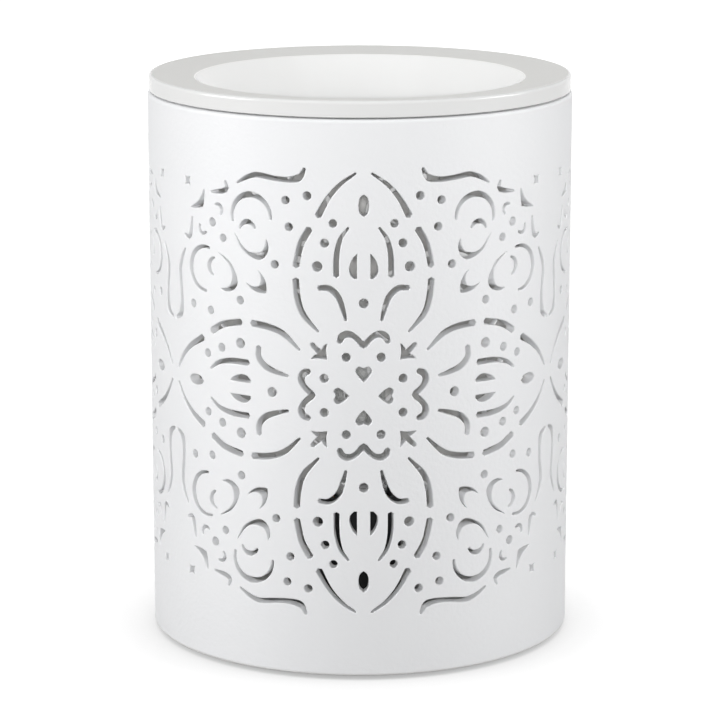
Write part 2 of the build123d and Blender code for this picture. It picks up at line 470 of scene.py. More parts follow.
plainLooks = {
    "painted_plate": {"name": "paintedPlate", "tones": ((0.76, 0.76, 0.75), (0.82, 0.82, 0.81)),
                      "roughness": 0.42, "metal": 0, "perMetre": 1400, "bumpDepth": 0.00006},
    "foot_rubber": {"name": "footRubber", "tones": ((0.40, 0.40, 0.39), (0.48, 0.48, 0.47)),
                    "roughness": 0.75, "metal": 0, "perMetre": 900, "bumpDepth": 0.0001},
    "zinc_steel": {"name": "zincSteel", "tones": ((0.60, 0.61, 0.63), (0.72, 0.73, 0.75)),
                   "roughness": 0.34, "metal": 1, "perMetre": 300, "bumpDepth": 0.00003,
                   "stretch": (1, 9, 9)},
    "black_resin": {"name": "blackResin", "tones": ((0.010, 0.010, 0.011), (0.020, 0.020, 0.021)),
                    "roughness": 0.38, "metal": 0, "perMetre": 800, "bumpDepth": 0.00005},
    "cream_resin": {"name": "creamResin", "tones": ((0.60, 0.52, 0.36), (0.68, 0.60, 0.44)),
                    "roughness": 0.5, "metal": 0, "perMetre": 700, "bumpDepth": 0.00005},
    "terminal_brass": {"name": "terminalBrass", "tones": ((0.72, 0.50, 0.19), (0.83, 0.63, 0.31)),
                       "roughness": 0.30, "metal": 1, "perMetre": 420, "bumpDepth": 0.00003},
    "inlet_rubber": {"name": "inletRubber", "tones": ((0.72, 0.72, 0.71), (0.79, 0.79, 0.78)),
                     "roughness": 0.62, "metal": 0, "perMetre": 900, "bumpDepth": 0.00008},
    "tin_solder": {"name": "tinSolder", "tones": ((0.58, 0.58, 0.57), (0.70, 0.70, 0.69)),
                   "roughness": 0.32, "metal": 1, "perMetre": 600, "bumpDepth": 0.00006},
    "black_glass": {"name": "blackGlass", "tones": ((0.012, 0.012, 0.015), (0.022, 0.020, 0.024)),
                    "roughness": 0.12, "metal": 0, "perMetre": 300, "bumpDepth": 0.00004},
    "cap_aluminium": {"name": "capAluminium", "tones": ((0.66, 0.66, 0.67), (0.78, 0.78, 0.79)),
                      "roughness": 0.28, "metal": 1, "perMetre": 260, "bumpDepth": 0.00003,
                      "stretch": (1, 1, 8)},
    "support_wire": {"name": "supportWire", "tones": ((0.46, 0.45, 0.43), (0.58, 0.57, 0.55)),
                     "roughness": 0.35, "metal": 1, "perMetre": 900, "bumpDepth": 0.00002},
    "tungsten": {"name": "tungsten", "tones": ((0.26, 0.25, 0.24), (0.36, 0.35, 0.34)),
                 "roughness": 0.4, "metal": 1, "perMetre": 900, "bumpDepth": 0.00002},
}
roughnessShare = {"least": 0.8, "span": 0.4}      # of a plain finish's roughness, over its grain


def plainFinish(look):
    plain = Finish(look["name"], {"Metallic": look["metal"]})
    grain = plain.noise(look["perMetre"], stretch=look.get("stretch", (1, 1, 1)))
    plain.feed({
        "Base Color": plain.blend(grain, *look["tones"]),
        "Roughness": look["roughness"] * (roughnessShare["least"] + roughnessShare["span"] * grain),
    })
    plain.bump(grain, look["bumpDepth"])
    return plain


finishes = {"matt_glaze": mattGlaze(), "gloss_glaze": glossGlaze(), "clear_glass": clearGlass()}
finishes.update({slot: plainFinish(look) for slot, look in plainLooks.items()})
print("finishes made:", len(finishes))


# pierced shell

panel = {
    "count": 3,
    "size": 110.0,          # the drawn square, in millimetres
    "centreHeight": 70.4,
    "edgeRound": 0.3,       # glazed edge of each opening, outside
    "innerRound": 0.2,
    "strokeStep": 0.76,     # spacing of the points along a line
    "outlineStep": 0.42,
    "leastArcSteps": 4,
    "endBulge": 0.3,        # how far a stroke's end bulges, as a share of its width there
    "dotSides": 16,
}

# One eighth of the panel is drawn, in millimetres from its centre, x across and y up.
# A stroke is a centre line with a width at each point, and an arc is one bent through three points.
# An outline is a list of smooth runs that meet in corners, bent as arcs where a run has three points.
# A dot is a centre and a diameter.
petal = {
    "strokes": [
        ([(1.9, 53.3), (5.4, 50.8), (8.3, 47.5), (10.8, 43.1)], [0.5, 0.9, 1.2, 1.6]),
        ([(12.9, 39.9), (15.0, 36.1), (16.2, 30.9)], [1.6, 1.5, 1.5]),
        ([(16.25, 27.7), (15.8, 23.3), (14.4, 19.4), (10.8, 15.4)], [1.5, 1.5, 1.25, 0.5]),
        ([(3.67, 40.4), (5.5, 37.7), (6.4, 33.75), (6.5, 28.9)], [0.5, 1.05, 1.35, 1.35]),
        ([(10.7, 25.9), (8.2, 25.9), (6.0, 23.9), (4.75, 20.4), (4.25, 18.3)], [1.15, 1.45, 1.4, 1.1, 0.6]),
    ],
    "outlines": [
        [[(1.6, 34.2), (1.6, 28.3)], [(1.6, 28.3), (2.3, 28.3)],
         [(2.3, 28.3), (3.2, 29.3), (3.4, 30.9), (2.7, 32.9), (1.6, 34.2)]],
    ],
    "dots": [((7.25, 41.4), 1.95), ((9.25, 36.7), 2.05), ((11.0, 31.05), 2.4), ((4.15, 9.4), 2.1)],
}
axisLine = {
    "outlines": [
        [[(0, 43.1), (0.9, 43.9), (1.25, 45.7), (0.9, 47.5), (0, 48.3)],
         [(0, 48.3), (-0.9, 47.5), (-1.25, 45.7), (-0.9, 43.9), (0, 43.1)]],
        [[(0, 3.45), (1.1, 4.6), (1.95, 6.1), (1.2, 7.1), (0, 6.7)],
         [(0, 6.7), (-1.2, 7.1), (-1.95, 6.1), (-1.1, 4.6), (0, 3.45)]],
        [[(0, 11.55), (0.95, 12.1), (1.7, 13.1), (2.75, 14.0), (3.75, 14.2), (4.55, 13.9), (5.05, 13.1)],
         [(5.05, 13.1), (5.75, 12.7), (6.35, 13.3)],
         [(6.35, 13.3), (5.95, 14.7), (4.75, 15.6), (3.25, 15.7), (1.65, 14.8), (0, 13.2)],
         [(0, 13.2), (-1.65, 14.8), (-3.25, 15.7), (-4.75, 15.6), (-5.95, 14.7), (-6.35, 13.3)],
         [(-6.35, 13.3), (-5.75, 12.7), (-5.05, 13.1)],
         [(-5.05, 13.1), (-4.55, 13.9), (-3.75, 14.2), (-2.75, 14.0), (-1.7, 13.1), (-0.95, 12.1),
          (0, 11.55)]],
    ],
    "dots": [((0, 22.4), 2.3)],
}
cornerHalf = {
    "strokes": [
        ([(14.0, 54.2), (15.2, 52.1), (17.9, 51.4), (21.7, 51.55), (24.5, 51.95), (26.7, 52.0), (29.2, 51.1),
          (31.6, 49.7)],
         [0.6, 1.7, 1.2, 1.1, 1.2, 1.2, 0.9, 0.4]),
        ([(35.2, 49.7), (34.7, 48.2), (36.0, 47.3), (39.7, 46.7)], [0.5, 1.2, 1.0, 0.4]),
    ],
    "arcs": [
        ([(22.5, 41.7), (27.6, 47.2), (33.0, 40.5)], [0.5, 1.4, 0.5]),
        ([(26.7, 39.3), (28.3, 40.6), (30.9, 38.9)], [0.5, 1.25, 0.4]),
        ([(38.3, 43.8), (36.5, 43.3), (36.7, 41.6)], [0.5, 0.85, 0.5]),
    ],
    "outlines": [
        [[(32.4, 37.6), (30.6, 34.3), (28.0, 32.4), (25.5, 31.8), (23.8, 33.0), (23.2, 35.2), (23.7, 36.9)],
         [(23.7, 36.9), (24.0, 35.1), (25.2, 33.6), (28.0, 33.3), (30.2, 34.6), (32.4, 37.6)]],
    ],
    "dots": [((18.7, 46.5), 1.95), ((17.9, 40.2), 1.95), ((21.5, 31.0), 1.95)],
}
diagonal = {
    "outlines": [
        [[(8.7, 8.7), (10.6, 8.95), (12.6, 8.75)], [(12.6, 8.75), (11.9, 9.5), (11.0, 10.05)],
         [(11.0, 10.05), (12.6, 11.9)], [(12.6, 11.9), (12.55, 12.55), (11.9, 12.6)],
         [(11.9, 12.6), (10.05, 11.0)],
         [(10.05, 11.0), (9.5, 11.9), (8.75, 12.6)], [(8.75, 12.6), (8.95, 10.6), (8.7, 8.7)]],
        [[(23.9, 23.9), (26.4, 24.0), (29.2, 26.0)], [(29.2, 26.0), (26.9, 25.1), (25.5, 25.5)],
         [(25.5, 25.5), (25.1, 26.9), (26.0, 29.2)], [(26.0, 29.2), (24.0, 26.4), (23.9, 23.9)]],
        [[(42.7, 42.7), (44.9, 42.2), (47.2, 42.1)], [(47.2, 42.1), (44.8, 43.5), (43.5, 44.8), (42.1, 47.2)],
         [(42.1, 47.2), (42.2, 44.9), (42.7, 42.7)]],
        [[(47.25, 47.25), (48.4, 47.65), (49.55, 47.25)], [(49.55, 47.25), (49.15, 48.4), (49.55, 49.55)],
         [(49.55, 49.55), (48.4, 49.15), (47.25, 49.55)], [(47.25, 49.55), (47.65, 48.4), (47.25, 47.25)]],
    ],
    "dots": [((36.0, 36.0), 1.9), ((39.4, 39.4), 2.1)],
}
upperDot = {"dots": [((13.4, 47.8), 2.0)]}      # beside the upper and lower petals only


def smoothRun(points, step):
    points = [Vector(point) for point in points]
    run = []
    for index in range(len(points) - 1):
        start, end = points[index], points[index + 1]
        before = points[index - 1] if index else start * 2 - end
        after = points[index + 2] if index + 2 < len(points) else end * 2 - start
        pull, push = (end - before) / 2, (after - start) / 2
        count = max(1, round((end - start).length / step))
        for part in range(count):
            t = part / count
            run.append(start * (2 * t**3 - 3 * t**2 + 1) + pull * (t**3 - 2 * t**2 + t)
                       + end * (3 * t**2 - 2 * t**3) + push * (t**3 - t**2))
    return run + [points[-1]]


def arcRun(points, step):
    a, b, c = [Vector(point) for point in points]
    d = 2 * (a.x * (b.y - c.y) + b.x * (c.y - a.y) + c.x * (a.y - b.y))
    sizes = a.length_squared, b.length_squared, c.length_squared
    centre = Vector((
        (sizes[0] * (b.y - c.y) + sizes[1] * (c.y - a.y) + sizes[2] * (a.y - b.y)) / d,
        (sizes[0] * (c.x - b.x) + sizes[1] * (a.x - c.x) + sizes[2] * (b.x - a.x)) / d))
    radius = (a - centre).length
    start = math.atan2(a.y - centre.y, a.x - centre.x)
    sweep = sum(-(p - centre).angle_signed(q - centre) for p, q in ((a, b), (b, c)))
    count = max(panel["leastArcSteps"], round(abs(sweep) * radius / step))
    angles = [start + sweep * part / count for part in range(count + 1)]
    return [centre + radius * Vector((math.cos(angle), math.sin(angle))) for angle in angles]


def strokeContour(line, widths):
    left, right = [], []
    count = len(line) - 1
    for index, point in enumerate(line):
        place = index / count * (len(widths) - 1)
        low = min(int(place), len(widths) - 2)
        ease = place - low
        width = widths[low] * (1 - ease) + widths[low + 1] * ease
        along = (line[min(index + 1, count)] - line[max(index - 1, 0)]).normalized()
        side = Vector((-along.y, along.x)) * width / 2
        left.append(point + side)
        right.append(point - side)
    bulge = panel["endBulge"]
    startCap = line[0] + (line[0] - line[1]).normalized() * widths[0] * bulge
    endCap = line[-1] + (line[-1] - line[-2]).normalized() * widths[-1] * bulge
    return right + [endCap] + left[::-1] + [startCap]


def drawn(shape):
    step, fineStep = panel["strokeStep"], panel["outlineStep"]
    contours = [strokeContour(smoothRun(line, step), widths) for line, widths in shape.get("strokes", [])]
    contours += [strokeContour(arcRun(line, step), widths) for line, widths in shape.get("arcs", [])]
    for outline in shape.get("outlines", []):
        runs = [arcRun(run, fineStep) if len(run) == 3 else smoothRun(run, fineStep) for run in outline]
        contours.append([point for run in runs for point in run[:-1]])
    for centre, size in shape.get("dots", []):
        spokes = [Vector((math.cos(angle), math.sin(angle))) for angle in allRound(panel["dotSides"])]
        contours.append([Vector(centre) + size / 2 * spoke for spoke in spokes])
    return contours


def mirrored(contours, swap):
    return [[Vector((p.y, p.x)) if swap else Vector((-p.x, p.y)) for p in contour] for contour in contours]


def turnedAbout(contours, quarters):
    for _ in range(quarters):
        contours = [[Vector((-p.y, p.x)) for p in contour] for contour in contours]
    return contours


def panelContours():
    eighths, uppers = drawn(petal), drawn(upperDot)
    corners = drawn(cornerHalf)
    quarter = eighths + mirrored(eighths, False) + corners + mirrored(corners, True)
    quarter += drawn(axisLine) + drawn(diagonal)
    contours = [contour for turn in range(4) for contour in turnedAbout(quarter, turn)]
    upper = uppers + mirrored(uppers, False)
    contours += upper + turnedAbout(upper, 2)
    return [anticlockwise(contour) for contour in contours]


def anticlockwise(contour):
    area = sum(a.x * b.y - b.x * a.y for a, b in zip(contour, contour[1:] + contour[:1]))
    return contour if area > 0 else contour[::-1]


def contourNormals(contour):
    normals = []
    for index, point in enumerate(contour):
        before = (point - contour[index - 1]).normalized()
        after = (contour[(index + 1) % len(contour)] - point).normalized()
        along = (before + after).normalized()
        normals.append(Vector((along.y, -along.x)))
    return normals


def insideContour(point, contour):
    inside = False
    for index, a in enumerate(contour):
        b = contour[index - 1]
        if (a.y > point.y) != (b.y > point.y):
            if point.x < a.x + (point.y - a.y) / (b.y - a.y) * (b.x - a.x):
                inside = not inside
    return inside


shellCut = {
    "wall": 3.0,
    "edgeBreak": 0.8,
    "edgeRound": 0.784,     # a little short of the break, so that the rounding ends on the wall
    "innerRound": 0.56,
    "flangeFillet": 0.72,
    "flangeRound": 0.5,
    "flangeWidth": 9.0,
    "flangeThickness": 4.0,
    "plateRecess": 3.0,
    "inletLevel": 15.5,
    "inletSize": (8.4, 6.4),
    "inletCorner": 1.5,
    "columns": 96,
    "rows": 36,
    "clear": 0.9,           # grid points keep this far from an opening
    "weld": 1e-5,           # closer points are one
    "leastArea": 1e-7,      # smaller triangles are left out
}


def nearOpening(spot, ring):
    return insideContour(spot, ring) or min((spot - p).length for p in ring) < shellCut["clear"]


def gridSpots(rim, low, high, girth):
    # points of a plain grid on the unrolled wall, clear of the openings
    columns, rows, gap = shellCut["columns"], shellCut["rows"], shellCut["clear"]
    start = -girth / 2 / panel["count"]
    boxes = []
    for ring in rim:
        xs, ys = [p.x for p in ring], [p.y for p in ring]
        boxes.append((min(xs) - gap, max(xs) + gap, min(ys) - gap, max(ys) + gap))
    spots = []
    for row in range(rows + 1):
        for column in range(columns + 1):
            spot = Vector((start + girth * column / columns, low + (high - low) * row / rows))
            around = [ring for ring, (x0, x1, y0, y1) in zip(rim, boxes)
                      if x0 < spot.x < x1 and y0 < spot.y < y1]
            if not any(nearOpening(spot, ring) for ring in around):
                spots.append(spot)
    return spots


def wallSheet(skin, rim, low, high, radius, outerRadius, facing):
    # one face of the unrolled wall, triangulated between its openings and laid on the cylinder
    spots, edges, owner = [], [], []
    for index, ring in enumerate(rim):
        first = len(spots)
        spots += ring
        owner += [index] * len(ring)
        edges += [(first + i, first + (i + 1) % len(ring)) for i in range(len(ring))]
    grid = gridSpots(rim, low, high, 2 * math.pi * outerRadius)
    spots += grid
    owner += [-1] * len(grid)
    places, _, faces, origins, _, _ = delaunay_2d_cdt(spots, edges, [], 0, shellCut["weld"])
    made = []
    for place in places:
        angle = place.x / outerRadius
        out = Vector((math.sin(angle), -math.cos(angle), 0))
        made.append(skin.point((out * radius + Vector((0, 0, place.y))) * mm, out * facing))
    for face in faces:
        owners = {owner[origins[corner][0]] if origins[corner] else -1 for corner in face}
        a, b, c = [places[corner] for corner in face]
        if len(owners) == 1 and -1 not in owners and insideContour((a + b + c) / 3, rim[owners.pop()]):
            continue
        turn = (b - a).cross(c - a)
        if abs(turn) > shellCut["leastArea"]:
            ring = [made[corner] for corner in face]
            skin.face(ring if (turn > 0) == (facing > 0) else ring[::-1])


def openingContours(radius):
    pitch = 2 * math.pi * radius / panel["count"]
    scale = pitch / panel["size"]
    drawing = panelContours()
    contours = []
    for repeat in range(panel["count"]):
        shift = Vector((repeat * pitch, panel["centreHeight"]))
        contours += [[point * scale + shift for point in contour] for contour in drawing]
    back = Vector((math.pi * radius, shellCut["inletLevel"]))
    contours.append([back + point for point in roundedBox(*shellCut["inletSize"], shellCut["inletCorner"])])
    return contours


def openingSides(skin, contour, normals, radius):
    # rings through the wall, both edges rounded; each has a spread, a depth and its normal's two parts
    wall, soft, inSoft = shellCut["wall"], panel["edgeRound"], panel["innerRound"]
    half = math.sqrt(0.5)
    steps = [(soft, 0, 1, 0), (soft * (1 - half), soft * (1 - half), half, half), (0, soft, 0, 1),
             (0, wall - inSoft, 0, 1), (inSoft, wall, -1, 0)]
    rings = []
    for spread, depth, outPart, holePart in steps:
        ring = []
        for point, normal in zip(contour, normals):
            spot = point + normal * spread
            angle = spot.x / radius
            out = Vector((math.sin(angle), -math.cos(angle), 0))
            across = Vector((math.cos(angle), math.sin(angle), 0))
            toHole = -(across * normal.x + Vector((0, 0, normal.y)))
            place = out * (radius - depth) + Vector((0, 0, spot.y))
            ring.append(skin.point(place * mm, out * outPart + toHole * holePart))
        rings.append(ring)
    for upper, lower in zip(rings, rings[1:]):
        for index in range(len(contour)):
            after = (index + 1) % len(contour)
            skin.face([upper[index], upper[after], lower[after], lower[index]])


def makeShell():
    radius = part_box("shell")[1][0] / mm
    foot, top = bottomAndTop("shell")
    edge, soft = shellCut["edgeBreak"], shellCut["edgeRound"]
    inner = radius - shellCut["wall"]
    skin = Skin()

    outerRim, innerRim = [], []
    for contour in openingContours(radius):
        normals = contourNormals(contour)
        openingSides(skin, contour, normals, radius)
        outerRim.append([point + normal * panel["edgeRound"] for point, normal in zip(contour, normals)])
        innerRim.append([point + normal * panel["innerRound"] for point, normal in zip(contour, normals)])

    under = foot + shellCut["plateRecess"]
    flangeTop = under + shellCut["flangeThickness"]
    wallSheet(skin, outerRim, foot + edge, top - edge, radius, radius, 1)
    wallSheet(skin, innerRim, flangeTop + edge, top - edge, inner, radius, -1)

    start = -math.pi / panel["count"]       # where the sheets begin
    angles = [start + angle for angle in allRound(shellCut["columns"])]
    flange, small = inner - shellCut["flangeWidth"], shellCut["flangeRound"]
    lip = roundedProfile([
        (radius, top - edge), (radius, top, soft), (inner, top, shellCut["innerRound"]), (inner, top - edge)])
    base = roundedProfile([
        (inner, flangeTop + edge), (inner, flangeTop, shellCut["flangeFillet"]), (flange, flangeTop, small),
        (flange, under, small), (inner, under, small), (inner, foot, small), (radius, foot, soft),
        (radius, foot + edge)])
    skin.turn(lambda angle: lip, angles, closed=False)
    skin.turn(lambda angle: base, angles, closed=False)
    shell = skin.build("piercedShell", finishes["matt_glaze"])
    settle(shell, "matt_glaze", "body", "shell")
    print("shell faces:", len(shell.data.polygons))


makeShell()


# dish

dishForm = {
    "bowlRadius": 41.0,
    "bowlDepth": 15.0,
    "floorRadius": 27.0,    # where the lines of floor and wall meet
    "floorRound": 23.0,
    "wall": 3.6,
    "underRound": 7.0,
    "flankRadius": 48.9,    # flank just inside the shell's rim
    "seatRound": 0.5,
    "rimHeight": 4.4,
    "rimFall": 1.0,         # the rim's top slopes down to the bowl
    "tuck": 1.8,            # the rim's lower face rises towards its edge and leaves a shadow gap
    "tuckHeight": 0.44,
    "lowRound": 0.35,
    "topRound": 0.8,
    "lipRound": 0.4,
    "columns": 128,
    "roundSteps": 8,
}


def makeDish():
    form = dishForm
    _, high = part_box("dish")
    radius, top = high[0] / mm, high[2] / mm
    floor, seat = top - form["bowlDepth"], top - form["rimHeight"]
    wall, meet = form["wall"], form["floorRadius"]
    corners = [
        (0, floor - wall),
        (meet + wall, floor - wall, form["underRound"]),
        (form["flankRadius"], seat, form["seatRound"]),
        (radius - form["tuck"], seat),
        (radius, seat + form["tuckHeight"], form["lowRound"]),
        (radius, top, form["topRound"]),
        (form["bowlRadius"], top - form["rimFall"], form["lipRound"]),
        (meet, floor, form["floorRound"]),
        (0, floor),
    ]
    dish = turnedPiece("oilDish", corners, finishes["gloss_glaze"], form["columns"], form["roundSteps"])
    settle(dish, "gloss_glaze", "dish", "dish")


makeDish()
print("dish made")


# plate, feet and the clamp in the foot

nippleForm = {
    "radius": 4.0,
    "wall": 1.4,
    "plateGap": 0.2,        # round the nipple, in the plate
    "threadGap": 0.1,       # in the nut and the holder's floor
    "threadPitch": 1.0,
    "threadDepth": 0.35,
    "rowsPerTurn": 8,
    "columns": 48,
    "crease": 40,
}


def makeNipple():
    bottom, top = bottomAndTop("nipple")
    radius, pitch = nippleForm["radius"], nippleForm["threadPitch"]
    bore = radius - nippleForm["wall"]
    heights = threadHeights(bottom, top, pitch, nippleForm["rowsPerTurn"])

    def outlineAt(angle):
        side = []
        for height in heights:
            dip = threadDip(height, angle, pitch, bottom - pitch, top + pitch)      # runs out at both ends
            side.append(Vector((radius - nippleForm["threadDepth"] * dip, height)))
        return [Vector((bore, bottom))] + side + [Vector((bore, top))]

    skin = Skin()
    skin.turn(outlineAt, allRound(nippleForm["columns"]))
    nipple = skin.build("threadedNipple", finishes["zinc_steel"], nippleForm["crease"])
    settle(nipple, "zinc_steel", "body", "nipple")


plateForm = {"edgeRound": 0.35, "holeRound": 0.2, "columns": 128}


def makeBasePlate():
    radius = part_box("base_plate")[1][0] / mm
    bottom, top = bottomAndTop("base_plate")
    hole = nippleForm["radius"] + nippleForm["plateGap"]
    edge, soft = plateForm["edgeRound"], plateForm["holeRound"]
    corners = [(hole, bottom, soft), (radius, bottom, edge), (radius, top, edge), (hole, top, soft)]
    plate = turnedPiece("basePlate", corners, finishes["painted_plate"], plateForm["columns"])
    settle(plate, "painted_plate", "body", "base_plate")


feetForm = {"size": 12.0, "reach": 32.5, "turns": (90, 210, 330), "corner": 1.8, "edge": 0.6, "crease": 50}


def makeFeet():
    _, top = bottomAndTop("feet")
    rings = blockRings(feetForm["size"], feetForm["size"], feetForm, 0, top)
    skin = Skin()
    for turn in feetForm["turns"]:
        angle = math.radians(turn)
        across = Vector((math.cos(angle), math.sin(angle)))
        ahead = Vector((-math.sin(angle), math.cos(angle)))
        turned = []
        for ring in rings:
            turned.append([(*(across * (feetForm["reach"] + x) + ahead * y), z) for x, y, z in ring])
        skin.loft(turned)
    feet = skin.build("rubberFeet", finishes["foot_rubber"], feetForm["crease"])
    settle(feet, "foot_rubber", "body", "feet")


nutForm = {
    "acrossFlats": 12.0,
    "coneRise": 0.577,      # slope of the cones that cut back the hexagon's corners at both ends
    "holeChamfer": 0.3,
    "columns": 72,
    "crease": 25,
}


def makeNut():
    bottom, top = bottomAndTop("nipple_nut")
    flat, chamfer = nutForm["acrossFlats"] / 2, nutForm["holeChamfer"]
    hole = nippleForm["radius"] + nippleForm["threadGap"]

    def outlineAt(angle):
        side = flat / math.cos((angle + math.pi / 6) % (math.pi / 3) - math.pi / 6)
        cut = max(0, side - flat) * nutForm["coneRise"]
        return [Vector(point) for point in (
            (hole, bottom + chamfer), (hole + chamfer, bottom), (flat, bottom), (side, bottom + cut),
            (side, top - cut), (flat, top), (hole + chamfer, top), (hole, top - chamfer))]

    skin = Skin()
    skin.turn(outlineAt, allRound(nutForm["columns"]))
    nut = skin.build("clampNut", finishes["zinc_steel"], nutForm["crease"])
    settle(nut, "zinc_steel", "body", "nipple_nut")


makeBasePlate()
makeFeet()
makeNipple()
makeNut()


# lamp holder and what it carries

holderForm = {
    "radius": 10.5,
    "bore": 8.3,
    "floor": 3.0,
    "edge": 0.9,
    "lipRound": 0.5,
    "windowWidth": 6.0,     # for the cord, at the back
    "windowHeight": 5.0,
    "windowCorner": 0.6,
    "windowReach": (6.3, 12.5),     # from the axis
    "crease": 35,
}


def makeHolder():
    form = holderForm
    bottom, top = bottomAndTop("holder_body")
    radius, bore, edge = form["radius"], form["bore"], form["edge"]
    floor = bottom + form["floor"]
    hole = nippleForm["radius"] + nippleForm["threadGap"]
    corners = [(hole, bottom), (radius, bottom, edge), (radius, top, edge), (bore, top, form["lipRound"]),
               (bore, floor), (hole, floor)]
    holder = turnedPiece("lampHolder", corners, finishes["black_resin"])
    outline = roundedBox(form["windowWidth"], form["windowHeight"], form["windowCorner"])
    level = floor + form["windowHeight"] / 2
    window = Skin()
    window.loft([[(-p.x, y, level + p.y) for p in outline] for y in form["windowReach"]])
    cutAway(holder, window.build("window", finishes["black_resin"], form["crease"]))
    holder.data.set_sharp_from_angle(angle=math.radians(form["crease"]))
    settle(holder, "black_resin", "body", "holder_body")


screwThread = {"pitch": 2.8222, "rowsPerTurn": 10}      # lamp cap and sleeve share it
sleeveForm = {"radius": 7.9, "wall": 0.45, "threadDepth": 0.55, "columns": 72, "crease": 50}


def makeSleeve():
    bottom, top = bottomAndTop("threaded_sleeve")
    pitch = screwThread["pitch"]
    heights = threadHeights(bottom, top, pitch, screwThread["rowsPerTurn"])

    def outlineAt(angle):
        outer = []
        for height in heights:
            dip = threadDip(height, angle, pitch, bottom, top)
            outer.append(Vector((sleeveForm["radius"] - sleeveForm["threadDepth"] * dip, height)))
        return outer + [Vector((point.x - sleeveForm["wall"], point.y)) for point in outer[::-1]]

    skin = Skin()
    skin.turn(outlineAt, allRound(sleeveForm["columns"]))
    sleeve = skin.build("threadedSleeve", finishes["terminal_brass"], sleeveForm["crease"])
    settle(sleeve, "terminal_brass", "body", "threaded_sleeve")


blockForm = {"corner": 0.8, "edge": 0.4, "crease": 50}


def makeTerminalBlock():
    low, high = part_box("terminal_block")
    width, depth = (high[0] - low[0]) / mm, (high[1] - low[1]) / mm
    skin = Skin()
    skin.loft(blockRings(width, depth, blockForm, low[2] / mm, high[2] / mm))
    block = skin.build("terminalBlock", finishes["cream_resin"], blockForm["crease"])
    settle(block, "cream_resin", "body", "terminal_block")


tubeEnds = {
    "slant": 0.3,           # middle ring of a rounded end, as a share of its edge
    "inside": 0.5,          # edge at the bore, against the outer edge
    "leastCorner": 0.15,
}


def tubeRings(form, width, height, level, near, far):
    # closed run of rings round a lying rectangular tube; each has a place along it and an inset
    edge, wall = form["edge"], form["wall"]
    slant, bored = edge * tubeEnds["slant"], edge * tubeEnds["inside"]
    steps = [(near, edge), (near + slant, slant), (near + edge, 0),
             (far - edge, 0), (far - slant, slant), (far, edge),
             (far, wall - bored), (far - bored, wall), (near + bored, wall), (near, wall - bored)]
    rings = []
    for y, inset in steps:
        corner = max(form["corner"] - inset, tubeEnds["leastCorner"])
        outline = roundedBox(width - 2 * inset, height - 2 * inset, corner)
        rings.append([(-p.x, y, level + p.y) for p in outline])
    return rings


screwForm = {
    "radius": 1.3,
    "head": 0.9,
    "slotWidth": 0.45,
    "slotDepth": 0.4,
    "lift": 0.01,           # over the cage
    "halfSteps": 16,
    "columns": 40,
    "crease": 30,
}


def addScrew(skin, foot):
    # cheese head: a disc, and on it two halves with the slot between them
    form = screwForm
    radius, head, slotFloor = form["radius"], form["head"], form["head"] - form["slotDepth"]
    lean = math.asin(form["slotWidth"] / 2 / radius)
    sweep = math.pi - 2 * lean
    blocks = []
    for side in (0, math.pi):
        spokes = [side + lean + sweep * step / form["halfSteps"] for step in range(form["halfSteps"] + 1)]
        blocks.append((spokes, slotFloor, head))
    blocks.append((allRound(form["columns"]), form["lift"], slotFloor))
    for spokes, low, high in blocks:
        rim = [Vector((radius * math.cos(a), radius * math.sin(a))) for a in spokes]
        skin.loft([[(foot.x + p.x, foot.y + p.y, foot.z + level) for p in rim] for level in (low, high)])


terminalForm = {
    "width": 3.0,
    "height": 3.4,
    "depth": 4.8,
    "wall": 0.6,
    "corner": 0.5,
    "edge": 0.2,
    "crease": 40,
}


def makeTerminals():
    low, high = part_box("wire_terminals")
    level = (low[2] + high[2]) / 2 / mm
    half = terminalForm["depth"] / 2
    reach = high[1] / mm - half
    cages, screws = Skin(), Skin()
    for middle in (-reach, reach):
        rings = tubeRings(terminalForm, terminalForm["width"], terminalForm["height"], level,
                          middle - half, middle + half)
        cages.loft(rings, closed=True)
        addScrew(screws, Vector((0, middle, high[2] / mm)))
    cage = cages.build("wireCages", finishes["terminal_brass"], terminalForm["crease"])
    settle(cage, "terminal_brass", "body", "wire_terminals")
    heads = screws.build("terminalScrews", finishes["zinc_steel"], screwForm["crease"])
    settle(heads, "zinc_steel", "body")


bushingForm = {"wall": 0.9, "corner": 1.4, "edge": 0.35, "crease": 45}


def makeBushing():
    low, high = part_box("cord_bushing")
    width, height = (high[0] - low[0]) / mm, (high[2] - low[2]) / mm
    level = (low[2] + high[2]) / 2 / mm
    skin = Skin()
    skin.loft(tubeRings(bushingForm, width, height, level, low[1] / mm, high[1] / mm), closed=True)
    bushing = skin.build("cordBushing", finishes["inlet_rubber"], bushingForm["crease"])
    settle(bushing, "inlet_rubber", "body", "cord_bushing")


makeHolder()
makeSleeve()
makeTerminalBlock()
makeTerminals()
makeBushing()
print("foot, holder and inlet made")


# lamp

capForm = {
    "radius": 6.95,
    "foot": 5.4,            # radius of its lower edge
    "threadDepth": 0.6,
    "threadLow": 1.0,       # from the lower edge to the thread
    "lead": 0.7,            # the thread's first turn narrows towards the lower edge
    "collar": 3.4,          # plain top
    "headCurve": ((0, 0.5), (0.15, 0.1), (0.5, 0)),     # in from the side, down from the top
    "columns": 72,
    "crease": 50,
}


